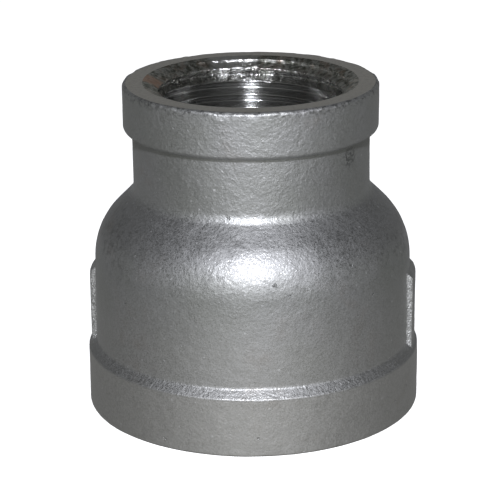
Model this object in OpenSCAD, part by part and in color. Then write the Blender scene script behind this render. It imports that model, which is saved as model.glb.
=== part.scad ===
// Threaded reducing coupling: a bell-shaped pipe fitting that joins a large pipe to a smaller one on the same axis.
// One casting with a plain reinforcing band on each end, two wrench ribs on the large barrel and a female thread in
// each end. Millimetres, +Z towards the small end, origin at the centre of the large end's face, ribs on the X axis.
// The casting is drawn as its named regions, which share faces and never overlap. Each thread is drawn as closed
// rings at the real pitch and depth.

/* [Body] */
// face to face length
overall_h = 55; // [40:0.5:90]
// outside diameter of the band on the small end
small_band_d = 42.3; // [30:0.1:80]
// height of the band on the small end
small_band_h = 7.85; // [4:0.05:15]
// rounding of that band's lower edge
small_band_round = 0.8; // [0.2:0.1:1.4]
// rounding of that band's upper edge
small_rim_round = 0.6; // [0.2:0.1:1.4]
// outside diameter of the neck under the small band
neck_d = 39.4; // [28:0.1:78]
// length of the neck between the small band and the bell
neck_h = 10.05; // [4:0.05:25]
// slope of the bell where it leaves the neck
shoulder_deg = 45; // [30:1:60]
// radius of the curve that turns the bell into the barrel
shoulder_round = 12; // [4:0.5:20]
// outside diameter of the barrel at its foot
barrel_d = 53.4; // [40:0.1:100]
// casting draft: how much narrower the barrel is at its top
barrel_draft = 0.4; // [0:0.1:1]
// outside diameter of the band on the large end
large_band_d = 56.1; // [42:0.1:110]
// height of the band's upright face on the large end
large_band_h = 9.75; // [5:0.05:20]

/* [Ribs] */
// distance over the outer faces of the two ribs
rib_d = 55.1; // [41:0.1:105]
// width of a rib
rib_w = 8.6; // [4:0.1:16]
// height of a rib's upper end above the large face
rib_top = 23.6; // [16:0.1:40]
// slope of a rib's upper end, measured down from level
rib_end_deg = 50; // [20:1:70]

/* [Threads] */
// thread pitch, 11 turns to the inch
pitch = 2.309; // [1.3:0.001:3]
// thread depth from crest to root
thread_depth = 1.479; // [0.8:0.001:2]
// crest diameter of the small internal thread
small_minor_d = 30.291; // [20:0.001:60]
// crest diameter of the large internal thread
large_minor_d = 44.845; // [30:0.001:80]
// slope of the lead-in countersinks, measured down from the face
lead_deg = 30; // [20:1:60]
// diameter of the lead-in countersink at the small mouth
small_mouth_d = 35.6; // [24:0.1:66]
// diameter of the lead-in countersink at the large mouth
large_mouth_d = 49; // [34:0.1:90]
// depth of the large thread, run-out included
large_thread_l = 20; // [10:0.5:30]

/* [Inside] */
// diameter of the cast bore behind the small thread
throat_d = 31.2; // [20:0.1:60]
// length of that cast bore before the bell opens out
throat_l = 0.6; // [0.2:0.1:5]
// diameter of the cast chamber behind the large thread
chamber_d = 48.4; // [30:0.1:90]

/* [Hidden] */
$fn = 96;
arc_steps = 9;
flank_deg = 27.5;
root_round = 0.12;
small_r = small_band_d / 2;
neck_r = neck_d / 2;
large_r = large_band_d / 2;
barrel_foot_r = barrel_d / 2;
barrel_top_r = (barrel_d - barrel_draft) / 2;
rib_r = rib_d / 2;
small_core_r = small_mouth_d / 2;
large_core_r = large_mouth_d / 2;
throat_r = throat_d / 2;
chamber_r = chamber_d / 2;
neck_top = overall_h - small_band_h;
neck_foot = neck_top - neck_h;
small_thread_l = overall_h - neck_foot;
ledge = large_r - barrel_foot_r;
barrel_foot = large_band_h + ledge;
throat_foot = neck_foot - throat_l;
barrel_top = tangent_z(neck_r, neck_foot, barrel_top_r, shoulder_round);
inner_round = ((throat_foot - barrel_top) * cos(shoulder_deg)
    - (chamber_r - throat_r) * sin(shoulder_deg)) / (1 - sin(shoulder_deg));
skirt = large_r * 2;

// height of the centre of a curve of radius rho that runs from a slope starting at (r0, z0) into a wall of radius r1
function tangent_z(r0, z0, r1, rho) =
    z0 - (rho + (r1 - rho - r0) * sin(shoulder_deg)) / cos(shoulder_deg);

// points of a slope starting at (r0, z0), then its curve, ending upright on the wall of radius r1
function shoulder(r0, z0, r1, rho) = concat([[r0, z0]],
    [for (i = [0:arc_steps]) let (a = (90 - shoulder_deg) * (1 - i / arc_steps))
        [r1 - rho + rho * cos(a), tangent_z(r0, z0, r1, rho) + rho * sin(a)]]);

// the same points from the last to the first
function reversed(pts) = [for (i = [len(pts) - 1:-1:0]) pts[i]];

module spin(pts) {
    rotate_extrude(convexity = 8) polygon(pts);
}

// an internal thread as closed rings: mouth at z = 0, running down, inside a plain outer wall
module ring_thread(minor_r, mouth_r, depth_l, exit_r) {
    flank = (thread_depth - root_round) * tan(flank_deg);
    land = pitch / 2 - thread_depth * tan(flank_deg);
    root = pitch - land - 2 * flank;
    root_r = minor_r + thread_depth;
    first = (mouth_r - minor_r) * tan(lead_deg);
    last = depth_l - (exit_r - minor_r);
    turns = floor((last - first - land) / pitch);
    grooves = [for (k = [0:turns - 1]) let (z = first + k * pitch + land)
        each [[minor_r, -z], [root_r - root_round, -z - flank], [root_r, -z - flank - root / 2],
            [root_r - root_round, -z - flank - root], [minor_r, -z - flank - root - flank]]];
    spin(concat([[mouth_r, 0], [minor_r, -first]], grooves,
        [[minor_r, -last], [exit_r, -depth_l], [mouth_r, -depth_l]]));
}

module small_end_thread() {
    color("Gainsboro") translate([0, 0, overall_h])
        ring_thread(small_minor_d / 2, small_core_r, small_thread_l, throat_r);
}

module large_end_thread() {
    color("Gainsboro") mirror([0, 0, 1])
        ring_thread(large_minor_d / 2, large_core_r, large_thread_l, chamber_r);
}

// points of a quarter round of radius rho inside the corner (r, z), from angle a0 to angle a0 - 90
function quarter(r, z, rho, a0) = [for (i = [0:arc_steps]) let (a = a0 - 90 * i / arc_steps)
    [r - rho + rho * cos(a), z + (a0 > 0 ? -rho : rho) + rho * sin(a)]];

// the small band: a plain ring whose outer edges are rounded
module small_end_band() {
    color("Silver") spin(concat([[small_core_r, overall_h]], quarter(small_r, overall_h, small_rim_round, 90),
        quarter(small_r, neck_top, small_band_round, 0), [[small_core_r, neck_top]]));
}

module neck() {
    color("Silver") spin([[small_core_r, neck_foot], [neck_r, neck_foot], [neck_r, neck_top],
        [small_core_r, neck_top]]);
}

// the bell: slopes out of the neck, turns upright at the barrel, open chamber inside
module bell_shoulder() {
    outer = shoulder(neck_r, neck_foot, barrel_top_r, shoulder_round);
    inner = shoulder(throat_r, throat_foot, chamber_r, inner_round);
    color("Silver") spin(concat(outer, reversed(inner), [[throat_r, neck_foot]]));
}

module large_barrel() {
    color("Silver") spin([[large_core_r, barrel_foot], [barrel_foot_r, barrel_foot], [barrel_top_r, barrel_top],
        [chamber_r, barrel_top], [chamber_r, large_thread_l], [large_core_r, large_thread_l]]);
}

// the large band: an upright face under a sloped ledge
module large_end_band() {
    color("Silver") spin([[large_core_r, 0], [large_r, 0], [large_r, large_band_h],
        [barrel_foot_r, barrel_foot], [large_core_r, barrel_foot]]);
}

// one wrench rib on the +X side: it stands on the ledge, ends in a slope, and its back follows the casting
module rib() {
    foot = barrel_foot - (rib_r - barrel_foot_r);
    profile = [[neck_r, barrel_foot], [barrel_foot_r, barrel_foot], [rib_r, foot],
        [rib_r, rib_top - (rib_r - barrel_top_r) * tan(rib_end_deg)], [barrel_top_r, rib_top], [neck_r, rib_top]];
    casting = concat([[0, neck_foot]], shoulder(neck_r, neck_foot, barrel_top_r, shoulder_round),
        [[barrel_foot_r, barrel_foot], [0, barrel_foot]]);
    difference() {
        intersection() {
            spin(profile);
            translate([0, -rib_w / 2, 0]) cube([skirt, rib_w, overall_h]);
        }
        spin(casting);
    }
}

module rib_right() {
    color("Silver") rib();
}

module rib_left() {
    color("Silver") rotate([0, 0, 180]) rib();
}

small_end_thread();
small_end_band();
neck();
bell_shoulder();
large_barrel();
rib_right();
rib_left();
large_end_band();
large_end_thread();
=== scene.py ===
"""Visual model of the threaded reducing coupling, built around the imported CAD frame.

Every casting region is a closed ring of metal revolved from one shared outline, so neighbours meet
without a seam. The two threads are true right-handed helices. Lengths in the helpers are millimetres,
the scene is in metres.
"""

import math

import bmesh
import bpy
import numpy as np
from mathutils import Euler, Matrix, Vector


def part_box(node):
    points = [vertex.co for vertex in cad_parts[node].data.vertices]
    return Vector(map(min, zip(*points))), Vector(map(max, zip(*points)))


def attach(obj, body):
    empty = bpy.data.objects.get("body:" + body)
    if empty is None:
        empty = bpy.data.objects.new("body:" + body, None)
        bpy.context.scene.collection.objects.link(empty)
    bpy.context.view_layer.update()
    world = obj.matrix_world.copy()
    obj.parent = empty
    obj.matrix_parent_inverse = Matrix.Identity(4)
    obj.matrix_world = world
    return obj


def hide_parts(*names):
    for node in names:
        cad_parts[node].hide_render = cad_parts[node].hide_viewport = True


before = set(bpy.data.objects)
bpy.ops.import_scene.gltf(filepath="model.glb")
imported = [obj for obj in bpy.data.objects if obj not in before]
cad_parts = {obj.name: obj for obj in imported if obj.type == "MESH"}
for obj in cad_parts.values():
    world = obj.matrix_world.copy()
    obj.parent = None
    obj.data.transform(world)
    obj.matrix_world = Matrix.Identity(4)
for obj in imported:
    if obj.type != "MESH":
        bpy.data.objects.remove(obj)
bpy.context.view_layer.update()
MM = 0.001

# ---------------------------------------------------------------- sizes, read from the CAD frame


def size(node):
    """Lowest and highest corner of a CAD node, in millimetres."""
    lo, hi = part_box(node)
    return [v / MM for v in lo], [v / MM for v in hi]


BAND_LO, BAND_HI = size("small_end_band")
NECK_LO, NECK_HI = size("neck")
BELL_LO, BELL_HI = size("bell_shoulder")
BARREL_LO, BARREL_HI = size("large_barrel")
FOOT_HI = size("large_end_band")[1]
RIB_LO, RIB_HI = size("rib_right")
THREAD_S_HI = size("small_end_thread")[1]
THREAD_L_HI = size("large_end_thread")[1]

TOP = BAND_HI[2]
SMALL_R = BAND_HI[0]
BAND_FOOT = BAND_LO[2]
NECK_R = NECK_HI[0]
NECK_FOOT = NECK_LO[2]
BELL_R = BELL_HI[0]
BELL_FOOT = BELL_LO[2]
BARREL_R = BARREL_HI[0]
BARREL_FOOT = BARREL_LO[2]
LARGE_R = FOOT_HI[0]
LEDGE_FOOT = BARREL_FOOT - (LARGE_R - BARREL_R)
CORE_S = THREAD_S_HI[0]
CORE_L = THREAD_L_HI[0]
THREAD_L_TOP = THREAD_L_HI[2]
RIB_R = RIB_HI[0]
RIB_W = RIB_HI[1] - RIB_LO[1]
RIB_TOP = RIB_HI[2]

# Sizes a box can't give: the same values as in the CAD source.
BAND_ROUND, RIM_ROUND = 0.8, 0.6
SHOULDER_ROUND, SHOULDER_DEG = 12.0, 45.0
PITCH = 2.309
DEPTH = 1.479
FLANK_DEG = 27.5
MINOR_S = 15.1455
MINOR_L = 22.4225
THROAT_R = 15.6
THROAT_FOOT = NECK_FOOT - 0.6
CHAMBER_R = 24.2
LEAD_DEG = 30
LEAD = math.tan(math.radians(LEAD_DEG))

# Mesh fineness: points round the casting, and the spacing along an outline.
N_AROUND = 640
STEP = 0.3
# Edges steeper than this stay sharp, and a custom normal is used where it agrees with its face this well.
SHARP_SKIN_DEG, SHARP_THREAD_DEG = 38, 50
NORMAL_AGREES = 0.8

# ---------------------------------------------------------------- smooth value noise


def _hash(ix, iy, iz, seed):
    """A repeatable value from -1 to 1 for each lattice point."""
    h = (ix * 374761393 + iy * 668265263 + iz * 1274126177 + seed * 974634777) & 0xFFFFFFFF
    h = ((h ^ (h >> 13)) * 1103515245) & 0xFFFFFFFF
    h = ((h ^ (h >> 16)) * 2246822519) & 0xFFFFFFFF
    return ((h ^ (h >> 15)) & 0xFFFFFF) / float(0xFFFFFF) * 2.0 - 1.0


def noise(points, wavelength, seed):
    """Smooth value noise from -1 to 1 at the points, with its own lattice for each seed."""
    p = points / wavelength + 1000.0
    i = np.floor(p).astype(np.int64)
    f = p - i
    f = f * f * f * (f * (f * 6 - 15) + 10)
    total = np.zeros(len(points))
    for dx in (0, 1):
        for dy in (0, 1):
            for dz in (0, 1):
                w = (np.where(dx, f[:, 0], 1 - f[:, 0]) * np.where(dy, f[:, 1], 1 - f[:, 1])
                     * np.where(dz, f[:, 2], 1 - f[:, 2]))
                total += w * _hash(i[:, 0] + dx, i[:, 1] + dy, i[:, 2] + dz, seed)
    return total


# The as-cast skin's unevenness: height, wavelength and seed of each layer.
SKIN_LAYERS = ((0.045, 9.0, 1), (0.022, 3.1, 2), (0.016, 1.5, 3), (0.008, 0.8, 4))


def cast_height(points):
    """How far the as-cast skin stands off its nominal surface."""
    return sum(height * noise(points, wavelength, seed) for height, wavelength, seed in SKIN_LAYERS)


def burr_height(points):
    """The rolled and chipped edge that facing leaves round the small end."""
    chips = np.clip((noise(points, 2.3, 6) - 0.28) / 0.22, 0, 1)
    return 0.030 * noise(points, 1.7, 5) + 0.045 * noise(points, 0.75, 7) - 0.09 * chips


# ---------------------------------------------------------------- outlines


def arc(cx, cz, rho, a0, a1, step=STEP):
    """Points on an arc of radius rho about (cx, cz), angles in degrees."""
    n = max(3, int(math.ceil(abs(math.radians(a1 - a0)) * rho / step)))
    a = np.radians(np.linspace(a0, a1, n + 1))
    return np.stack([cx + rho * np.cos(a), cz + rho * np.sin(a)], -1)


def line(p, q, step=STEP):
    """Evenly spaced points from p to q."""
    p, q = np.array(p, float), np.array(q, float)
    n = max(1, int(math.ceil(np.linalg.norm(q - p) / step)))
    return p + (q - p) * np.linspace(0, 1, n + 1)[:, None]


def chain(*parts):
    """Joins point lists end to end, without doubling the points they share."""
    out = [np.asarray(parts[0], float)]
    for part in parts[1:]:
        part = np.asarray(part, float)
        if np.linalg.norm(part[0] - out[-1][-1]) < 1e-6:
            part = part[1:]
        if len(part):
            out.append(part)
    return np.concatenate(out)


def fillet(prev, corner, nxt, rho, step=0.12):
    """The round that replaces a corner, as points from the first side to the second."""
    a, b, c = (np.array(v, float) for v in (prev, corner, nxt))
    u, v = (a - b) / np.linalg.norm(a - b), (c - b) / np.linalg.norm(c - b)
    half = math.acos(max(-1, min(1, float(u @ v)))) / 2
    reach = rho / math.tan(half)
    centre = b + (u + v) / np.linalg.norm(u + v) * rho / math.sin(half)
    p, q = b + u * reach, b + v * reach
    a0, a1 = (math.atan2(*(w - centre)[::-1]) for w in (p, q))
    if a1 - a0 > math.pi:
        a1 -= 2 * math.pi
    if a0 - a1 > math.pi:
        a1 += 2 * math.pi
    n = max(4, int(math.ceil(abs(a1 - a0) * rho / step)))
    t = np.linspace(a0, a1, n + 1)
    return np.stack([centre[0] + rho * np.cos(t), centre[1] + rho * np.sin(t)], -1)


def shoulder(r0, z0, r1, rho, step=STEP):
    """A slope from (r0, z0) that turns upright on radius r1."""
    s, c = math.sin(math.radians(SHOULDER_DEG)), math.cos(math.radians(SHOULDER_DEG))
    zc = z0 - (rho + (r1 - rho - r0) * s) / c
    bend = arc(r1 - rho, zc, rho, 90 - SHOULDER_DEG, 0, step)
    return chain(line((r0, z0), bend[0], step), bend)


def outward(pts):
    """Unit normals to the left of the direction of travel, which is outside for outlines drawn downwards."""
    d = np.gradient(pts, axis=0)
    d /= np.linalg.norm(d, axis=1)[:, None] + 1e-12
    return np.stack([-d[:, 1], d[:, 0]], -1)


# ---------------------------------------------------------------- meshes


def new_object(name, verts, faces, material_ids=None, materials=(), custom=None):
    """A smooth object from points in millimetres, with custom normals where they agree with the face."""
    me = bpy.data.meshes.new(name)
    me.from_pydata((np.asarray(verts) * MM).tolist(), [], faces)
    for m in materials:
        me.materials.append(m)
    if material_ids is not None:
        me.polygons.foreach_set("material_index", np.asarray(material_ids, np.int32))
    me.polygons.foreach_set("use_smooth", np.ones(len(me.polygons), bool))
    me.update()
    me.set_sharp_from_angle(angle=math.radians(SHARP_SKIN_DEG))
    if custom is not None:
        loops = np.empty(len(me.loops), np.int32)
        me.loops.foreach_get("vertex_index", loops)
        vals = custom[loops]
        start = np.empty(len(me.polygons), np.int32)
        total = np.empty(len(me.polygons), np.int32)
        me.polygons.foreach_get("loop_start", start)
        me.polygons.foreach_get("loop_total", total)
        fn = np.empty(len(me.polygons) * 3)
        me.polygons.foreach_get("normal", fn)
        per_loop = np.repeat(fn.reshape(-1, 3), total, axis=0)
        off = (vals * per_loop).sum(1) < NORMAL_AGREES
        vals = np.where(off[:, None], 0.0, vals)
        me.normals_split_custom_set(vals.tolist())
    ob = bpy.data.objects.new(name, me)
    bpy.context.scene.collection.objects.link(ob)
    return ob


def skin_grid(pts, normals, weights, burrs=None):
    """The displaced surface of revolution over an outline: points and smooth normals, (rows, around, 3)."""
    t = np.linspace(0, 2 * math.pi, N_AROUND, endpoint=False)
    ct, st = np.cos(t), np.sin(t)
    r, z = pts[:, 0][:, None], pts[:, 1][:, None]
    grid = np.stack([r * ct, r * st, np.broadcast_to(z, (len(pts), N_AROUND))], -1)
    n = np.stack([normals[:, 0][:, None] * ct, normals[:, 0][:, None] * st,
                  np.broadcast_to(normals[:, 1][:, None], (len(pts), N_AROUND))], -1)
    flat = grid.reshape(-1, 3)
    h = cast_height(flat).reshape(len(pts), N_AROUND) * weights[:, None]
    if burrs is not None:
        h += burr_height(flat).reshape(len(pts), N_AROUND) * burrs[:, None]
    grid = grid + n * h[..., None]
    around = np.roll(grid, -1, 1) - np.roll(grid, 1, 1)
    along = np.gradient(grid, axis=0)
    smooth = np.cross(around, along)
    smooth /= np.linalg.norm(smooth, axis=2)[..., None] + 1e-12
    flip = (smooth * n).sum(2) < 0
    smooth[flip] *= -1
    return grid, smooth


def ring_piece(name, loop, material_of, materials):
    """A closed ring from sections that share end points: each is (points, normals or None, kind)."""
    rows, cust, kinds = [], [], []
    for grid, smooth, kind in loop:
        for k in range(len(grid) - 1):
            rows.append(grid[k])
            cust.append(smooth[k] if smooth is not None else np.zeros((N_AROUND, 3)))
            kinds.append(kind)
    m = len(rows)
    # the shared end row of a skin section starts the next section, and keeps the skin's normal
    at = 0
    for grid, smooth, kind in loop:
        at += len(grid) - 1
        if smooth is not None:
            cust[at % m] = smooth[-1]
    verts = np.concatenate(rows)
    custom = np.concatenate(cust)
    j = np.arange(N_AROUND)
    j2 = (j + 1) % N_AROUND
    faces, ids = [], []
    for k in range(m):
        k2 = (k + 1) % m
        quad = np.stack([k * N_AROUND + j, k * N_AROUND + j2, k2 * N_AROUND + j2, k2 * N_AROUND + j], -1)
        faces.append(quad)
        ids += [material_of[kinds[k]]] * N_AROUND
    faces = np.concatenate(faces)
    a, b, c = (verts[faces[:, i]] for i in (0, 1, 2))
    volume = (a * np.cross(b, c)).sum() + (a * np.cross(c, verts[faces[:, 3]])).sum()
    if volume < 0:
        faces = faces[:, ::-1]
    return new_object(name, verts, faces.tolist(), ids, materials, custom)


def plain_rows(*corners):
    """Undisplaced rows joining grids' edge rows through plain circles."""
    t = np.linspace(0, 2 * math.pi, N_AROUND, endpoint=False)
    out = []
    for c in corners:
        if isinstance(c, tuple):
            out.append(np.stack([c[0] * np.cos(t), c[0] * np.sin(t), np.full(N_AROUND, c[1])], -1))
        else:
            out.append(c)
    return np.array(out)


# ---------------------------------------------------------------- materials


class Tree:
    """A new material's node tree, with short ways to add nodes: an input is a socket to link or a value."""

    def __init__(self, name):
        self.mat = bpy.data.materials.new(name)
        self.mat.use_nodes = True
        self.nt = self.mat.node_tree
        self.shader = self.nt.nodes["Principled BSDF"]

    def add(self, kind, inputs=None, **props):
        n = self.nt.nodes.new(kind)
        for k, v in props.items():
            setattr(n, k, v)
        for k, v in (inputs or {}).items():
            if isinstance(v, bpy.types.NodeSocket):
                self.nt.links.new(v, n.inputs[k])
            else:
                n.inputs[k].default_value = v
        return n

    def math(self, op, a, b=None, clamp=False):
        ins = {0: a}
        if b is not None:
            ins[1] = b
        return self.add("ShaderNodeMath", ins, operation=op, use_clamp=clamp).outputs[0]

    def ramp(self, value, lo, hi, to_lo=0.0, to_hi=1.0):
        n = self.add("ShaderNodeMapRange", {0: value, 1: lo, 2: hi, 3: to_lo, 4: to_hi})
        return n.outputs[0]

    def mix(self, fac, a, b):
        n = self.add("ShaderNodeMix", {0: fac, 6: a, 7: b}, data_type="RGBA")
        return n.outputs[2]

    def link(self, out, name):
        self.nt.links.new(out, self.shader.inputs[name])

    def point_mm(self):
        c = self.add("ShaderNodeTexCoord")
        s = self.add("ShaderNodeVectorMath", {0: c.outputs["Object"], 1: (1000, 1000, 1000)},
                     operation="MULTIPLY")
        return s.outputs[0]

    def noise(self, vec, scale, detail=2.0, rough=0.5):
        n = self.add("ShaderNodeTexNoise",
                     {"Vector": vec, "Scale": scale, "Detail": detail, "Roughness": rough})
        return n.outputs[0]


# A dark mark on the neck.
SCAR_DEG, SCAR_UP = -31, 7.9
SCAR_AT = (NECK_R * math.cos(math.radians(SCAR_DEG)), NECK_R * math.sin(math.radians(SCAR_DEG)),
           NECK_FOOT + SCAR_UP)
# The clean metal's tints, and the colours that marks, dirt and bright spots turn it.
SKIN_TINT, INSIDE_TINT = (0.50, 0.50, 0.487), (0.40, 0.40, 0.385)
# The pale grit colour of the rib sides is partly painted light.
GRIT_DARK, GRIT_PALE_PAINTED_LIGHT, GLINT = (0.48, 0.48, 0.47, 1), (0.76, 0.76, 0.74, 1), (0.78, 0.78, 0.78, 1)
SMUDGE, STAIN = (0.15, 0.15, 0.145, 1), (0.36, 0.31, 0.26, 1)
MARK, DIRT = (0.10, 0.10, 0.095, 1), (0.10, 0.10, 0.10, 1)
FACED_PALE, FACED_DARK = (0.90, 0.87, 0.81, 1), (0.72, 0.69, 0.64, 1)
CUT_PALE, CUT_DARK = (0.70, 0.70, 0.69, 1), (0.50, 0.50, 0.49, 1)
TORN_PALE, TORN_DARK = (0.74, 0.74, 0.70, 1), (0.20, 0.205, 0.17, 1)
# The lip colour, near white, is a painted highlight.
RUST, LIP_PAINTED_HIGHLIGHT = (0.80, 0.52, 0.38, 1), (0.94, 0.94, 0.92, 1)
# Heights between which a look of the casting fades in, or out where the first is the higher.
NECK_GRAIN_Z, BARREL_GRAIN_Z = (34.0, 38.0), (18.0, 25.0)
LEDGE_IN_Z, LEDGE_OUT_Z = (9.5, 9.9), (11.5, 11.0)
# The barrel and foot get painted light, and the slope painted shade, between these heights.
BARREL_PAINTED_LIGHT_Z, FOOT_PAINTED_LIGHT_Z = (26.0, 16.0), (9.9, 9.5)
SLOPE_PAINTED_SHADE_IN_Z, SLOPE_PAINTED_SHADE_OUT_Z = (29.0, 31.5), (37.0, 36.0)
SMUDGE_IN_Z, SMUDGE_OUT_Z = (24.0, 29.0), (37.5, 35.5)
MARK_Z = (20.0, 27.0)
# How much of the full grain the bell keeps, and the barrel and foot keep of that.
GRAIN_BELL, GRAIN_LOW = 0.70, 0.65
# The two kinds of facet in the blasted skin: matt and brighter.
MATT, BRIGHT = 0.60, 0.40


def shade(tint, *by):
    """A tint scaled channel by channel, or by one factor, as a colour."""
    return tuple(c * k for c, k in zip(tint, by if len(by) == 3 else by * 3)) + (1,)


def cast_material(name, tint=SKIN_TINT, flank=None):
    """Blasted casting skin: pebbly grain, stronger on the upper part, a few glints, dark marks and stains,
    with painted light low down and painted shade on the ledge and slope.

    flank is how far from the X axis a wrench rib's own steep side lies, where the skin is a rib's."""
    t = Tree(name)
    p = t.point_mm()
    z = t.add("ShaderNodeSeparateXYZ", {0: p}).outputs[2]
    pebble = t.noise(p, 1.7, 2.0, 0.6)
    fine = t.noise(p, 3.6, 2.0, 0.65)
    broad = t.noise(p, 0.09, 2.0, 0.55)
    patch = t.noise(p, 0.35, 3.0, 0.6)
    coarse = t.math("MULTIPLY", t.ramp(z, *NECK_GRAIN_Z, GRAIN_BELL, 1.0),
                    t.ramp(z, *BARREL_GRAIN_Z, GRAIN_LOW, 1.0))
    on_ledge = t.math("MULTIPLY", t.ramp(z, *LEDGE_IN_Z), t.ramp(z, *LEDGE_OUT_Z))
    coarse = t.math("ADD", coarse, t.math("MULTIPLY", on_ledge, 0.65))
    coarse = t.math("MULTIPLY", coarse, t.ramp(patch, 0.3, 0.7, 0.75, 1.2))
    cells = t.add("ShaderNodeTexVoronoi", {"Vector": p, "Scale": 0.75, "Randomness": 1.0})
    pick = t.add("ShaderNodeSeparateXYZ", {0: cells.outputs["Color"]})
    glint = t.math("MULTIPLY", t.ramp(cells.outputs["Distance"], 0.20, 0.08),
                   t.ramp(pick.outputs[0], 0.88, 0.92), True)
    ragged = t.math("ADD", cells.outputs["Distance"], t.ramp(fine, 0.3, 0.7, -0.14, 0.14))
    mark = t.math("MULTIPLY", t.ramp(ragged, 0.26, 0.12), t.ramp(pick.outputs[1], 0.975, 0.985), True)
    # broad changes of tone: random ones, then painted light that makes the foot and barrel paler and painted
    # shade that makes the ledge and slope darker
    base = t.mix(t.ramp(broad, 0.3, 0.7), shade(tint, 0.92, 0.93, 0.91), shade(tint, 1.05, 1.05, 1.07))
    # painted light: the barrel and foot are made paler, for light reflected up from the floor
    base = t.mix(t.ramp(z, *BARREL_PAINTED_LIGHT_Z, 0.0, 0.5), base, shade(tint, 1.20, 1.18, 1.16))
    base = t.mix(t.ramp(z, *FOOT_PAINTED_LIGHT_Z), base, shade(tint, 1.22, 1.20, 1.18))
    # painted shade: the upward-facing ledge is made darker
    base = t.mix(on_ledge, base, shade(tint, 0.93))
    smear = t.noise(p, 0.95, 3.0, 0.65)
    smudge = t.math("MULTIPLY", t.ramp(smear, 0.48, 0.66), t.ramp(t.noise(p, 0.13, 1.0), 0.42, 0.58), True)
    smudge = t.math("MULTIPLY", smudge, t.math("MULTIPLY", t.ramp(z, *SMUDGE_IN_Z), t.ramp(z, *SMUDGE_OUT_Z)))
    # painted shade: the 45 degree slope is made darker
    base = t.mix(t.math("MULTIPLY", t.ramp(z, *SLOPE_PAINTED_SHADE_IN_Z), t.ramp(z, *SLOPE_PAINTED_SHADE_OUT_Z)), base,
                 shade(tint, 0.86, 0.86, 0.87))
    base = t.mix(t.math("MULTIPLY", smudge, 0.45), base, SMUDGE)
    if flank:
        # the steep sides of a wrench rib: grittier than the rest, and paler, partly a cleaner skin and partly
        # painted light from the bright front they face
        beside = t.math("ABSOLUTE", t.add("ShaderNodeSeparateXYZ", {0: p}).outputs[1])
        beside = t.ramp(beside, flank - 0.25, flank - 0.05)
        grit_and_painted_light = t.mix(t.ramp(fine, 0.35, 0.6), GRIT_DARK, GRIT_PALE_PAINTED_LIGHT)
        base = t.mix(beside, base, grit_and_painted_light)
    base = t.mix(t.math("MULTIPLY", t.ramp(fine, 0.36, 0.62, 1.0, 0.0), 0.17), base,
                 shade(tint, 0.42, 0.42, 0.43))
    base = t.mix(t.math("MULTIPLY", glint, 0.55), base, GLINT)
    stain = t.math("MULTIPLY", t.ramp(broad, 0.58, 0.75), t.ramp(patch, 0.45, 0.7), True)
    base = t.mix(t.math("MULTIPLY", stain, 0.35), base, STAIN)
    base = t.mix(t.math("MULTIPLY", mark, t.ramp(z, *MARK_Z, 0.22, 0.50)), base, MARK)
    # dirt on the small rim, and the scar
    dirt = t.math("MULTIPLY", t.ramp(z, TOP - 1.5, TOP - 0.5), t.ramp(t.noise(p, 1.25, 3.0, 0.7), 0.50, 0.60))
    away = t.add("ShaderNodeVectorMath", {0: p, 1: SCAR_AT}, operation="DISTANCE").outputs["Value"]
    scar = t.math("MULTIPLY", t.ramp(away, 2.1, 0.9), t.ramp(t.noise(p, 1.9, 2.0, 0.7), 0.46, 0.54))
    base = t.mix(t.math("MULTIPLY", t.math("MAXIMUM", dirt, scar), 0.62), base, DIRT)
    t.link(base, "Base Color")
    t.shader.inputs["Metallic"].default_value = 1.0
    # the blasted facets shine differently from cell to cell
    facets = t.add("ShaderNodeTexVoronoi", {"Vector": p, "Scale": 8.0, "Randomness": 1.0})
    facet = t.add("ShaderNodeSeparateXYZ", {0: facets.outputs["Color"]}).outputs[0]
    t.link(t.ramp(facet, 0.62, 0.82, MATT, BRIGHT), "Roughness")
    lump = t.noise(p, 0.85, 1.0)
    height = t.math("ADD", t.math("MULTIPLY", pebble, 0.074), t.math("MULTIPLY", fine, 0.045))
    height = t.math("ADD", height, t.math("MULTIPLY", lump, 0.035))
    height = t.math("MULTIPLY", height, coarse)
    if flank:
        grit = t.math("ADD", t.math("MULTIPLY", pebble, 0.16), t.math("MULTIPLY", fine, 0.10))
        height = t.math("ADD", height, t.math("MULTIPLY", grit, beside))
    height = t.math("ADD", height, t.math("MULTIPLY", glint, 0.02))
    height = t.math("SUBTRACT", height, t.math("MULTIPLY", mark, 0.05))
    bump = t.add("ShaderNodeBump", {"Strength": 1.0, "Distance": MM, "Height": height})
    t.link(bump.outputs[0], "Normal")
    return t.mat


def turned_material(name):
    """The faced end: fine circular tool marks round the axis."""
    t = Tree(name)
    p = t.point_mm()
    xyz = t.add("ShaderNodeSeparateXYZ", {0: p})
    flat = t.add("ShaderNodeCombineXYZ", {0: xyz.outputs[0], 1: xyz.outputs[1]})
    radius = t.add("ShaderNodeVectorMath", {0: flat.outputs[0]}, operation="LENGTH").outputs["Value"]
    ring = t.add("ShaderNodeTexNoise", {"W": radius, "Scale": 9.0, "Detail": 3.0, "Roughness": 0.65},
                 noise_dimensions="1D").outputs[0]
    spots = t.noise(p, 1.6, 3.0, 0.6)
    base = t.mix(t.ramp(spots, 0.35, 0.7), FACED_PALE, FACED_DARK)
    t.link(base, "Base Color")
    t.shader.inputs["Metallic"].default_value = 1.0
    t.link(t.ramp(spots, 0.3, 0.7, 0.34, 0.46), "Roughness")
    height = t.math("ADD", t.math("MULTIPLY", ring, 0.010), t.math("MULTIPLY", spots, 0.012))
    bump = t.add("ShaderNodeBump", {"Strength": 1.0, "Distance": MM, "Height": height})
    t.link(bump.outputs[0], "Normal")
    return t.mat


# Azimuths of the brown patch and of the lip that is laid over, and how far that lip's middle lies to -X.
RUST_DEG = 177
LIP_DEG, LIP_SHIFT = 106.0, 4.6
LIP_AIM = (math.cos(math.radians(LIP_DEG)), math.sin(math.radians(LIP_DEG)), 0)


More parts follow.
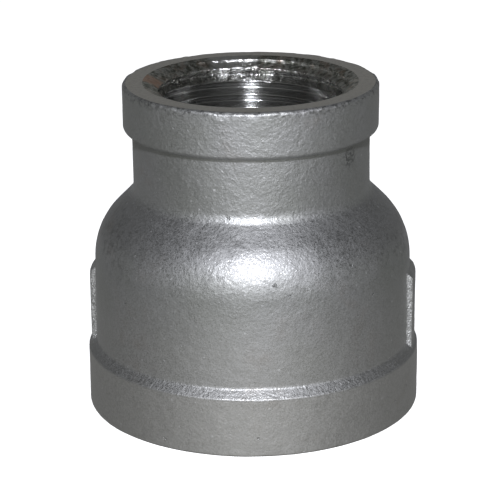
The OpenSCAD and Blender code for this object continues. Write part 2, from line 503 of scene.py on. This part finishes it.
def thread_material(name, mouth, into, rust=None, brushed=False):
    """Tapped metal: satin flanks with faint tool lines, torn, pitted and dark near the mouth, with a painted
    highlight on the lip that is laid over.

    mouth is the height of the face and into the way in, up or down. rust is the azimuth of a brown
    patch, if there is one. A brushed material streaks its highlights along the axis."""
    t = Tree(name)
    p = t.point_mm()
    xyz = t.add("ShaderNodeSeparateXYZ", {0: p})
    depth = t.math("MULTIPLY", t.math("SUBTRACT", xyz.outputs[2], mouth), into)
    tear_noise = t.noise(p, 0.50, 3.0, 0.6)
    near = t.ramp(t.math("ADD", depth, t.ramp(tear_noise, 0.3, 0.7, -1.3, 1.3)), 3.6, 1.6)
    mottle = t.noise(p, 1.05, 3.0, 0.65)
    speck = t.noise(p, 2.4, 2.0, 0.6)
    line_vec = t.add("ShaderNodeVectorMath", {0: p, 1: (0.08, 0.08, 7.0)}, operation="MULTIPLY").outputs[0]
    lines = t.noise(line_vec, 1.0, 3.0, 0.6)
    clean = t.mix(t.ramp(lines, 0.3, 0.7), CUT_PALE, CUT_DARK)
    torn = t.mix(t.ramp(mottle, 0.38, 0.60), TORN_PALE, TORN_DARK)
    way = t.add("ShaderNodeVectorMath", {0: p, 1: (1, 1, 0)}, operation="MULTIPLY").outputs[0]
    way = t.add("ShaderNodeVectorMath", {0: way}, operation="NORMALIZE").outputs[0]
    if rust:
        aim = (math.cos(math.radians(rust)), math.sin(math.radians(rust)), 0)
        facing = t.add("ShaderNodeVectorMath", {0: way, 1: aim}, operation="DOT_PRODUCT").outputs["Value"]
        spot = t.math("ADD", t.ramp(facing, 0.988, 0.997), t.ramp(tear_noise, 0.3, 0.7, -0.35, 0.35), True)
        torn = t.mix(t.math("MULTIPLY", spot, 0.85), torn, RUST)
    # the lip laid over towards LIP_DEG leans by bump, and is painted near white there as a painted highlight
    heading = t.add("ShaderNodeVectorMath", {0: way, 1: LIP_AIM}, operation="DOT_PRODUCT").outputs["Value"]
    laid_lip_and_highlight = t.math("MULTIPLY", t.ramp(heading, 0.955, 0.992), near)
    torn = t.mix(t.math("MULTIPLY", laid_lip_and_highlight, 0.8), torn, LIP_PAINTED_HIGHLIGHT)
    t.link(t.mix(near, clean, torn), "Base Color")
    t.shader.inputs["Metallic"].default_value = 1.0
    if brushed:
        t.shader.inputs["Anisotropic"].default_value = 0.95
        t.shader.inputs["Anisotropic Rotation"].default_value = 0.25
    rough = t.add("ShaderNodeMix", {0: near, 2: t.ramp(lines, 0.3, 0.7, 0.16, 0.22), 3: 0.34}).outputs[0]
    t.link(rough, "Roughness")
    pits = t.math("ADD", t.math("MULTIPLY", mottle, 0.22), t.math("MULTIPLY", speck, 0.09))
    tear = t.math("MULTIPLY", pits, near)
    lean = t.math("MULTIPLY", t.math("ADD", xyz.outputs[0], LIP_SHIFT), 0.30)
    tear = t.math("ADD", tear, t.math("MULTIPLY", lean, laid_lip_and_highlight))
    height = t.math("ADD", t.math("MULTIPLY", lines, 0.022 if brushed else 0.075), tear)
    bump = t.add("ShaderNodeBump", {"Strength": 1.0, "Distance": MM, "Height": height})
    t.link(bump.outputs[0], "Normal")
    return t.mat


CAST = cast_material("cast_stainless_skin")
RIB = cast_material("cast_stainless_rib", flank=RIB_W / 2)
INSIDE = cast_material("cast_stainless_inside", INSIDE_TINT)
TURNED = turned_material("turned_end_face")
# Each thread has a brushed material, and a plain one for the torn metal at its mouth.
THREAD_S = (thread_material("tapped_small", TOP, -1.0, RUST_DEG, True),
            thread_material("torn_small", TOP, -1.0, RUST_DEG))
THREAD_L = (thread_material("tapped_large", 0.0, 1.0, None, True),
            thread_material("torn_large", 0.0, 1.0))

# ---------------------------------------------------------------- casting regions

# Casting fillets: foot of the neck, both sides of the ledge, and the large rim. Then the burr's width.
CREASE_ROUND = 2.8
LEDGE_IN_ROUND, LEDGE_OUT_ROUND, FOOT_ROUND = 0.60, 0.55, 0.30
BURR_WIDTH = 0.55
# Material index of each kind of section on a ring piece.
KINDS = {"cast": 0, "seam": 0, "inside": 1, "turned": 1}


def register(ob, nodes):
    """Makes a piece ride the one body and stand for its CAD nodes."""
    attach(ob, "root")
    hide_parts(*nodes)


# The outer skin from the small mouth's rim to the large mouth's rim, in sections that end where the
# regions meet. A last number that follows the places and radii is the point spacing.
rim = line((CORE_S, TOP), (SMALL_R - RIM_ROUND, TOP), 0.35)
rim_edge = fillet((CORE_S, TOP), (SMALL_R, TOP), (SMALL_R, BAND_FOOT), RIM_ROUND, 0.10)
band_side = chain(rim_edge, line(rim_edge[-1], (SMALL_R, BAND_FOOT + BAND_ROUND)),
                  arc(SMALL_R - BAND_ROUND, BAND_FOOT + BAND_ROUND, BAND_ROUND, 0, -90, 0.2),
                  line((SMALL_R - BAND_ROUND, BAND_FOOT), (NECK_R, BAND_FOOT), 0.2))
slope = shoulder(NECK_R, NECK_FOOT, BELL_R, SHOULDER_ROUND)
crease = fillet((NECK_R, BAND_FOOT), (NECK_R, NECK_FOOT), tuple(slope[4]), CREASE_ROUND, 0.15)
mid = len(crease) // 2
neck_side = chain(line((NECK_R, BAND_FOOT), crease[0]), crease[:mid + 1])
after = slope[slope[:, 1] < crease[-1][1] - 0.05]
bell_side = chain(crease[mid:], after)
ledge_in = fillet((BELL_R, BELL_FOOT), (BARREL_R, BARREL_FOOT), (LARGE_R, LEDGE_FOOT), LEDGE_IN_ROUND, 0.12)
barrel_side = chain(line((BELL_R, BELL_FOOT), ledge_in[0]), ledge_in[:len(ledge_in) // 2 + 1])
ledge_out = fillet((BARREL_R, BARREL_FOOT), (LARGE_R, LEDGE_FOOT), (LARGE_R, 0), LEDGE_OUT_ROUND, 0.12)
foot_edge = fillet((LARGE_R, LEDGE_FOOT), (LARGE_R, 0), (CORE_L, 0), FOOT_ROUND, 0.1)
foot_side = chain(ledge_in[len(ledge_in) // 2:], ledge_out, line(ledge_out[-1], foot_edge[0]), foot_edge)
foot_face = line(foot_edge[-1], (CORE_L, 0), 0.5)

outline = chain(rim, band_side, neck_side, bell_side, barrel_side, foot_side, foot_face)
cuts = np.cumsum([len(rim) - 1, len(band_side) - 1, len(neck_side) - 1, len(bell_side) - 1,
                  len(barrel_side) - 1, len(foot_side) - 1])
normal = outward(outline)
# the two faced ends have no casting noise
weight = np.ones(len(outline))
weight[:cuts[0] + 1] = 0.0
weight[cuts[5]:] = 0.0
corner = np.array([SMALL_R - RIM_ROUND * 0.3, TOP - RIM_ROUND * 0.3])
burr = np.exp(-(np.linalg.norm(outline - corner, axis=1) / BURR_WIDTH) ** 2)
grid, smooth = skin_grid(outline, normal, weight, burr)
# both sides of the crisp corner under the band keep their own normal
smooth[cuts[1]] = 0.0


def sec(a, b, kind):
    """The outer skin's rows from a to b, as a section of a ring piece."""
    return grid[a:b + 1], smooth[a:b + 1], kind


# inner skin, from the throat down to the top of the large thread
slope_sin, slope_cos = math.sin(math.radians(SHOULDER_DEG)), math.cos(math.radians(SHOULDER_DEG))
inner_round = ((THROAT_FOOT - BELL_FOOT) * slope_cos - (CHAMBER_R - THROAT_R) * slope_sin) / (1 - slope_sin)
inner_bell = chain(line((THROAT_R, NECK_FOOT), (THROAT_R, THROAT_FOOT)),
                   shoulder(THROAT_R, THROAT_FOOT, CHAMBER_R, inner_round, 0.4))
inner_barrel = line((CHAMBER_R, BELL_FOOT), (CHAMBER_R, THREAD_L_TOP), 0.5)
inner_line = chain(inner_bell, inner_barrel)
inner_normal = -outward(inner_line)
inner_weight = np.ones(len(inner_line))
inner_weight[0] = inner_weight[-1] = 0.0
igrid, ismooth = skin_grid(inner_line, inner_normal, inner_weight)
icut = len(inner_bell) - 1


def up(section):
    """A section run the other way."""
    g, s, kind = section
    return g[::-1], s[::-1], kind


band = ring_piece("small_end_band_cast", [
    sec(0, cuts[0], "turned"), sec(cuts[0], cuts[1], "cast"),
    (plain_rows(grid[cuts[1]], (CORE_S, BAND_FOOT), grid[0]), None, "seam")], KINDS, [CAST, TURNED])
register(band, ["small_end_band"])

neck = ring_piece("neck_cast", [
    sec(cuts[1], cuts[2], "cast"),
    (plain_rows(grid[cuts[2]], (CORE_S, NECK_FOOT), (CORE_S, BAND_FOOT), grid[cuts[1]]), None, "seam")],
    KINDS, [CAST])
register(neck, ["neck"])

bell = ring_piece("bell_shoulder_cast", [
    sec(cuts[2], cuts[3], "cast"),
    (plain_rows(grid[cuts[3]], igrid[icut]), None, "seam"),
    up((igrid[:icut + 1], ismooth[:icut + 1], "inside")),
    (plain_rows(igrid[0], (CORE_S, NECK_FOOT), grid[cuts[2]]), None, "seam")], KINDS, [CAST, INSIDE])
register(bell, ["bell_shoulder"])

barrel = ring_piece("large_barrel_cast", [
    sec(cuts[3], cuts[4], "cast"),
    (plain_rows(grid[cuts[4]], (CORE_L, BARREL_FOOT), (CORE_L, THREAD_L_TOP), igrid[-1]), None, "seam"),
    up((igrid[icut:], ismooth[icut:], "inside")),
    (plain_rows(igrid[icut], grid[cuts[3]]), None, "seam")], KINDS, [CAST, INSIDE])
register(barrel, ["large_barrel"])

foot = ring_piece("large_end_band_cast", [
    sec(cuts[4], cuts[5], "cast"), sec(cuts[5], len(outline) - 1, "turned"),
    (plain_rows(grid[-1], (CORE_L, BARREL_FOOT), grid[cuts[4]]), None, "seam")], KINDS, [CAST, TURNED])
register(foot, ["large_end_band"])

# ---------------------------------------------------------------- wrench ribs

# How far a rib's slopes start outside its nominal edge, and how far the side and end slopes run.
RIB_EASE, RIB_SIDE_RUN, RIB_END_RUN = 0.25, 0.40, 1.55
# How far its back is sunk into the casting, and how far up the ledge's slope it starts.
RIB_SUNK, RIB_START = 1.3, 0.35


def smoothstep(x):
    """Rises smoothly from 0 to 1 as x goes from 0 to 1."""
    x = np.clip(x, 0, 1)
    return x * x * (3 - 2 * x)


def skin_radius(z):
    """Radius of the plain casting under a rib."""
    order = np.argsort(outline[cuts[2]:cuts[4] + 1, 1])
    return np.interp(z, outline[cuts[2]:cuts[4] + 1, 1][order], outline[cuts[2]:cuts[4] + 1, 0][order])


def merged(*spans):
    """One rising list of the even steps of several (start, end, count) spans."""
    return np.unique(np.concatenate([np.linspace(*s) for s in spans]).round(4))


def make_rib(name, node, side):
    """A wrench rib on +X, or on -X where side is -1. Its back is sunk into the casting."""
    half = RIB_W / 2
    lo_z = LEDGE_FOOT + RIB_START
    across = merged((-half - 0.7, -half + 0.5, 13), (-half + 0.5, half - 0.5, 27),
                    (half - 0.5, half + 0.7, 13))
    along = merged((lo_z, RIB_TOP - 2.2, 44), (RIB_TOP - 2.2, RIB_TOP + 0.8, 22))
    y, z = np.meshgrid(across, along)
    under = skin_radius(np.maximum(z, BARREL_FOOT))
    ledge = np.where(z < BARREL_FOOT, BARREL_FOOT - z, 0.0)
    # sides fall with a little draft, the upper end slopes, every edge is eased
    side_fall = smoothstep((half + RIB_EASE - np.abs(y)) / RIB_SIDE_RUN)
    end_fall = smoothstep((RIB_TOP + RIB_EASE - z) / RIB_END_RUN)
    base = np.sqrt(np.maximum((under + ledge) ** 2 - y ** 2, 0))
    face = np.sqrt(np.maximum(RIB_R ** 2 - y ** 2, 0))
    rise = side_fall * end_fall
    # where the rib has died out its skin lies just under the casting's
    x = base + (np.maximum(face, base - 0.05) - base) * rise - 0.10 * (1 - smoothstep(rise * 6))
    outer = np.stack([x, y, z], -1)
    flat = outer.reshape(-1, 3)
    bump = cast_height(flat * np.array([side, side, 1.0])).reshape(x.shape)
    outer[..., 0] += bump
    inner = np.stack([np.full_like(x, BELL_R - RIB_SUNK), y * 0.94, z], -1)
    rows, cols = x.shape
    verts = np.concatenate([outer.reshape(-1, 3), inner.reshape(-1, 3)])
    faces = []
    n = rows * cols
    for i in range(rows - 1):
        for j in range(cols - 1):
            a, b, c, d = i * cols + j, i * cols + j + 1, (i + 1) * cols + j + 1, (i + 1) * cols + j
            faces.append((a, b, c, d))
            faces.append((n + a, n + d, n + c, n + b))
    rim_ids = (list(range(cols)) + [i * cols + cols - 1 for i in range(1, rows)]
               + [(rows - 1) * cols + j for j in range(cols - 2, -1, -1)]
               + [i * cols for i in range(rows - 2, 0, -1)])
    for k in range(len(rim_ids)):
        a, b = rim_ids[k], rim_ids[(k + 1) % len(rim_ids)]
        faces.append((b, a, n + a, n + b))
    verts[:, 0] *= side
    verts[:, 1] *= side
    ob = new_object(name, verts, faces, None, [RIB])
    register(ob, [node])


make_rib("rib_right_cast", "rib_right", 1.0)
make_rib("rib_left_cast", "rib_left", -1.0)

# ---------------------------------------------------------------- threads

# Radii of the groove's rounded root, of the Whitworth form, and of its eased crest.
ROOT_ROUND, CREST_ROUND = 0.137329 * PITCH, 0.16
# The groove dies out over this many turns at its inner end.
RUN_OUT_TURNS = 1.6
# Tearing: its full depth and the length it fades over, the azimuth where it is worst, and how wide that is.
TEAR_REACH, TEAR_FADE = 4.2, 3.0
TEAR_DEG, TEAR_SPREAD_DEG = 112.0, 15.0
# How deep the torn material reaches.
TORN_DEPTH = 3.1
# The countersink lies this much inside its cone, and wear rounds the first turn by about this much.
SINK_BACK, WEAR = 0.38, 0.22
# Heights of one groove's root on each thread. The small one's is on the wall across from the camera.
ROOT_S_Z, ROOT_L_Z = 49.76, 6.0
# The camera's azimuth, from -Y towards +X.
CAMERA_AZ = 5.5
# A point this near an end is on its ring, in millimetres, and points this near are one, in metres.
AT_END, WELD = 1e-4, 2e-8


def pitch_profile():
    """One turn of the groove: position 0..1 along the pitch (0 at the root) and depth below the crest."""
    flank = math.radians(FLANK_DEG)
    rho = ROOT_ROUND
    root_half = rho * math.cos(flank)
    start_depth = DEPTH - rho * (1 - math.sin(flank))
    crest_half = PITCH / 2 - (root_half + start_depth * math.tan(flank))
    a = np.linspace(0, math.pi / 2 - flank, 6)
    root = np.stack([rho * np.sin(a), DEPTH - rho * (1 - np.cos(a))], -1)
    ease = CREST_ROUND * math.tan((math.pi / 2 - flank) / 2)
    corner = PITCH / 2 - crest_half
    f0 = np.array([corner - ease * math.sin(flank), ease * math.cos(flank)])
    b = np.linspace(0, 1, 5)[:, None]
    f1 = np.array([corner + ease, 0.0])
    ctrl = np.array([corner, 0.0])
    crest = (1 - b) ** 2 * f0 + 2 * b * (1 - b) * ctrl + b ** 2 * f1
    flank_pts = line(root[-1], f0, 0.22)[1:-1]
    half = np.concatenate([root, flank_pts, crest, [[PITCH / 2, 0.0]]])
    other = half[1:-1][::-1] * np.array([-1, 1]) + np.array([PITCH, 0])
    full = np.concatenate([half, other])
    return full[:, 0] / PITCH, full[:, 1]


def make_thread(name, node, minor, core, z_mouth, z_end, exit_r, root_at, root_angle, materials,
                around=420):
    """A closed sleeve whose inside is a right-handed thread, open at the mouth through a countersink.

    It is one long strip of profile rows: column j of the circle sits j / around of a pitch higher, so the
    last column of a row meets the first column one turn up."""
    up_sign = 1.0 if z_mouth > z_end else -1.0
    u, depth = pitch_profile()
    m = len(u)
    lo, hi = min(z_mouth, z_end), max(z_mouth, z_end)
    first = int(math.floor((lo - root_at) / PITCH)) - 2
    last = int(math.ceil((hi - root_at) / PITCH)) + 2
    turn_u = np.concatenate([u + k for k in range(first, last)])
    turn_d = np.tile(depth, last - first)
    rows = len(turn_u)
    theta = np.linspace(0, 2 * math.pi, around, endpoint=False)
    z = root_at + PITCH * (turn_u[:, None] + (theta[None, :] - root_angle) / (2 * math.pi))
    d = np.broadcast_to(turn_d[:, None], z.shape)
    in_from_mouth = (z_mouth - z) * up_sign
    to_end = (z - z_end) * up_sign
    wide = np.ones_like(z)
    flat = np.stack([minor * np.cos(theta) * wide, minor * np.sin(theta) * wide, z], -1).reshape(-1, 3)
    fade = smoothstep(to_end / (RUN_OUT_TURNS * PITCH))
    r = minor + d * fade
    torn = smoothstep((TEAR_REACH - in_from_mouth) / TEAR_FADE)
    rag = (0.075 * noise(flat, 0.55, 21) + 0.055 * noise(flat, 1.3, 22)).reshape(z.shape)
    wander = (0.10 * noise(flat, 3.0, 23) + 0.05 * noise(flat, 1.1, 24)).reshape(z.shape)
    from_tear = (np.degrees(theta)[None, :] - TEAR_DEG + 180) % 360 - 180
    rag = rag * (0.9 + 1.6 * np.exp(-(from_tear / TEAR_SPREAD_DEG) ** 2))
    r = r + rag * torn
    # the wider of thread and countersink, blended over the worn width
    cone = core - np.maximum(in_from_mouth, 0) / LEAD
    cone = cone + (wander + rag * 0.8 - SINK_BACK) * smoothstep(in_from_mouth / 0.30)
    worn = WEAR + 0.12 * noise(flat, 2.4, 25).reshape(z.shape)
    r = (0.5 * (r + cone + np.sqrt((r - cone) ** 2 + worn ** 2))
         - 0.5 * worn * smoothstep((in_from_mouth - 4.5) / 2))
    r = np.maximum(r, exit_r - np.maximum(to_end, 0))
    r = np.minimum(r, core - 0.02 * smoothstep(in_from_mouth / 0.05))
    # points past an end fall onto that end's ring
    inside = (z > lo + AT_END) & (z < hi - AT_END)
    ids = np.full(z.shape, -1, int)
    ids[inside] = np.arange(inside.sum())
    count = int(inside.sum())
    co = np.stack([r * np.cos(theta)[None, :], r * np.sin(theta)[None, :], z], -1)[inside]

    def ring(radius, level):
        return np.stack([radius * np.cos(theta), radius * np.sin(theta), np.full(around, level)], -1)

    r_lo = exit_r if up_sign > 0 else core
    r_hi = core if up_sign > 0 else exit_r
    lo_ids = count + np.arange(around)
    hi_ids = lo_ids + around
    below = z <= lo + AT_END
    above = z >= hi - AT_END
    cols = np.broadcast_to(np.arange(around)[None, :], z.shape)
    ids[below] = lo_ids[cols[below]]
    ids[above] = hi_ids[cols[above]]
    outer_lo = hi_ids + around
    verts = np.concatenate([co, ring(r_lo, lo), ring(r_hi, hi), ring(core, z_end)])
    faces = []
    for i in range(rows - 1):
        for j in range(around):
            if j + 1 < around:
                q = (ids[i, j], ids[i, j + 1], ids[i + 1, j + 1], ids[i + 1, j])
            else:
                if i + 1 + m >= rows:
                    continue
                q = (ids[i, j], ids[i + m, 0], ids[i + 1 + m, 0], ids[i + 1, j])
            q = [int(v) for v in q]
            keep = [v for k, v in enumerate(q) if v != q[k - 1]]
            if len(set(keep)) == len(keep) and len(keep) >= 3:
                faces.append(tuple(keep))
    # the outer wall and the inner end close the sleeve
    mouth_ids, end_ids = (hi_ids, lo_ids) if up_sign > 0 else (lo_ids, hi_ids)
    for j in range(around):
        k = (j + 1) % around
        a, b = (mouth_ids[j], mouth_ids[k]), (outer_lo[j], outer_lo[k])
        wall = (a[0], a[1], b[1], b[0])
        base = (b[0], b[1], end_ids[k], end_ids[j])
        faces.append(tuple(int(v) for v in wall))
        faces.append(tuple(int(v) for v in base))
    ob = new_object(name, verts, faces, None, materials)
    bm = bmesh.new()
    bm.from_mesh(ob.data)
    bmesh.ops.remove_doubles(bm, verts=bm.verts, dist=WELD)
    bmesh.ops.recalc_face_normals(bm, faces=bm.faces)
    bm.to_mesh(ob.data)
    bm.free()
    middle = np.empty(len(ob.data.polygons) * 3)
    ob.data.polygons.foreach_get("center", middle)
    middle = middle.reshape(-1, 3) / MM
    in_by = (z_mouth - middle[:, 2]) * up_sign + 0.5 * noise(middle, 0.8, 26)
    ob.data.polygons.foreach_set("material_index", (in_by < TORN_DEPTH).astype(np.int32))
    ob.data.set_sharp_from_angle(angle=math.radians(SHARP_THREAD_DEG))
    register(ob, [node])


make_thread("small_end_thread_tapped", "small_end_thread", MINOR_S, CORE_S, TOP, NECK_FOOT, THROAT_R,
            ROOT_S_Z, math.radians(90 + CAMERA_AZ), THREAD_S)
make_thread("large_end_thread_tapped", "large_end_thread", MINOR_L, CORE_L, 0.0, THREAD_L_TOP, CHAMBER_R,
            ROOT_L_Z, 0.0, THREAD_L, 560)

# ---------------------------------------------------------------- camera

CAMERA_LENS, CAMERA_BACK, CAMERA_UP = 146.738, 0.326395, 0.135857
CAMERA_DOWN_DEG, CAMERA_TURN_DEG, CAMERA_ROLL_DEG = 18.6765, 0.0667, -0.61524

scene = bpy.context.scene
cam_data = bpy.data.cameras.new("camera")
cam_data.sensor_fit = "HORIZONTAL"
cam_data.sensor_width = 36.0
cam_data.lens = CAMERA_LENS
cam_data.clip_start = 0.01
cam = bpy.data.objects.new("camera", cam_data)
scene.collection.objects.link(cam)
az = math.radians(CAMERA_AZ)
cam.location = (CAMERA_BACK * math.sin(az), -CAMERA_BACK * math.cos(az), CAMERA_UP)
aim = Euler((math.radians(90 - CAMERA_DOWN_DEG), 0, az + math.radians(CAMERA_TURN_DEG)), "XYZ").to_matrix()
roll = Euler((0, 0, math.radians(CAMERA_ROLL_DEG)), "XYZ").to_matrix()
cam.rotation_euler = (aim @ roll).to_euler()
scene.camera = cam

# ---------------------------------------------------------------- stage and light

# A small key light above the camera: where it aims, its azimuth from the camera's own side, its elevation
# and its distance. Lengths are in metres.
KEY_AIM = Vector((0, 0, 0.03))
KEY_AZ, KEY_UP, KEY_FAR = math.radians(0.4), math.radians(33), 0.42
KEY_SIZE, KEY_WATTS, KEY_COLOUR = 0.040, 1.68, (0.95, 0.97, 1.06)
# Room light: strength everywhere, then strength and spread in degrees in front and behind.
WORLD_BASE, WORLD_FRONT, WORLD_SPREAD = 0.075, 0.51, 45.0
WORLD_BACK, BACK_SPREAD = 0.12, 32.0
# The shares of it kept underneath and overhead, and the heights of a direction between which they fade.
WORLD_LOW, WORLD_TOP = 0.35, 0.28
LOW_FADE, TOP_FADE = (-0.90, -0.45), (-0.20, 0.75)
WORLD_COLOUR = (0.98, 1.0, 0.985, 1)
# The sweep's flat radius and its rise in metres, how far it lies under the part in millimetres, its glow.
FLOOR_R, FLOOR_RISE, FLOOR_GAP, FLOOR_GLOW = 1.6, 0.8, 0.05, 0.80


def make_key():
    """The key light, facing its aim."""
    data = bpy.data.lights.new("key", "AREA")
    data.shape = "RECTANGLE"
    data.size = data.size_y = KEY_SIZE
    data.energy = KEY_WATTS
    data.color = KEY_COLOUR
    ob = bpy.data.objects.new("key", data)
    level = math.cos(KEY_UP)
    way = Vector((math.sin(az + KEY_AZ) * level, -math.cos(az + KEY_AZ) * level, math.sin(KEY_UP)))
    ob.location = KEY_AIM + way * KEY_FAR
    ob.rotation_euler = (-way).to_track_quat("-Z", "Y").to_euler()
    scene.collection.objects.link(ob)


make_key()


def make_world():
    """Soft room light: brightest on the camera's side, a little behind, dimmer overhead and underneath."""
    world = bpy.data.worlds.new("studio")
    world.use_nodes = True
    scene.world = world
    nt = world.node_tree
    back_node = nt.nodes["Background"]

    def add(kind, inputs, **props):
        n = nt.nodes.new(kind)
        for k, v in props.items():
            setattr(n, k, v)
        for k, v in inputs.items():
            if isinstance(v, bpy.types.NodeSocket):
                nt.links.new(v, n.inputs[k])
            else:
                n.inputs[k].default_value = v
        return n

    way = add("ShaderNodeTexCoord", {}).outputs["Generated"]
    level = add("ShaderNodeVectorMath", {0: way, 1: (1, 1, 0)}, operation="MULTIPLY").outputs[0]
    level = add("ShaderNodeVectorMath", {0: level}, operation="NORMALIZE").outputs[0]
    to_camera = (math.sin(az), -math.cos(az), 0)
    cosine = add("ShaderNodeVectorMath", {0: level, 1: to_camera}, operation="DOT_PRODUCT").outputs["Value"]
    angle = add("ShaderNodeMath", {0: cosine}, operation="ARCCOSINE").outputs[0]
    behind = add("ShaderNodeMath", {0: math.pi, 1: angle}, operation="SUBTRACT").outputs[0]
    total = WORLD_BASE
    for off, spread, strength in ((angle, WORLD_SPREAD, WORLD_FRONT), (behind, BACK_SPREAD, WORLD_BACK)):
        # a smooth peak over the azimuth off its middle
        ratio = add("ShaderNodeMath", {0: off, 1: math.radians(spread)}, operation="DIVIDE").outputs[0]
        square = add("ShaderNodeMath", {0: ratio, 1: ratio}, operation="MULTIPLY").outputs[0]
        under = add("ShaderNodeMath", {0: square, 1: 1.0}, operation="ADD").outputs[0]
        peak = add("ShaderNodeMath", {0: strength, 1: under}, operation="DIVIDE").outputs[0]
        total = add("ShaderNodeMath", {0: peak, 1: total}, operation="ADD").outputs[0]
    rise = add("ShaderNodeSeparateXYZ", {0: way}).outputs[2]
    lift = add("ShaderNodeMapRange",
               {0: rise, 1: LOW_FADE[0], 2: LOW_FADE[1], 3: WORLD_LOW, 4: 1.0}).outputs[0]
    total = add("ShaderNodeMath", {0: total, 1: lift}, operation="MULTIPLY").outputs[0]
    dim = add("ShaderNodeMapRange",
              {0: rise, 1: TOP_FADE[0], 2: TOP_FADE[1], 3: 1.0, 4: WORLD_TOP}).outputs[0]
    total = add("ShaderNodeMath", {0: total, 1: dim}, operation="MULTIPLY").outputs[0]
    nt.links.new(total, back_node.inputs["Strength"])
    back_node.inputs["Color"].default_value = WORLD_COLOUR


make_world()


def make_floor():
    """A pale sweep: flat under the part, rising far away."""
    bend = np.radians(np.linspace(10, 90, 9))
    r = np.concatenate([[0.0], np.linspace(0.15, FLOOR_R, 12), FLOOR_R + FLOOR_RISE * np.sin(bend)])
    z = np.concatenate([[0.0], np.zeros(12), FLOOR_RISE * (1 - np.cos(bend))])
    n = 96
    t = np.linspace(0, 2 * math.pi, n, endpoint=False)
    verts = [(0, 0, -FLOOR_GAP)]
    for rr, zz in zip(r[1:], z[1:]):
        verts += [(rr * math.cos(a) / MM, rr * math.sin(a) / MM, zz / MM - FLOOR_GAP) for a in t]
    faces = [(0, 1 + j, 1 + (j + 1) % n) for j in range(n)]
    for k in range(len(r) - 2):
        a0, b0 = 1 + k * n, 1 + (k + 1) * n
        faces += [(a0 + j, b0 + j, b0 + (j + 1) % n, a0 + (j + 1) % n) for j in range(n)]
    t = Tree("pale_floor")
    t.shader.inputs["Base Color"].default_value = (0.85, 0.85, 0.85, 1)
    t.shader.inputs["Roughness"].default_value = 0.9
    t.shader.inputs["Specular IOR Level"].default_value = 0.1
    t.shader.inputs["Emission Color"].default_value = (1, 1, 1, 1)
    t.shader.inputs["Emission Strength"].default_value = FLOOR_GLOW
    ob = new_object("floor", verts, faces, None, [t.mat])
    ob.visible_glossy = False


make_floor()
scene.view_settings.view_transform = "Standard"
scene.view_settings.look = "None"
scene.view_settings.exposure = 0.0
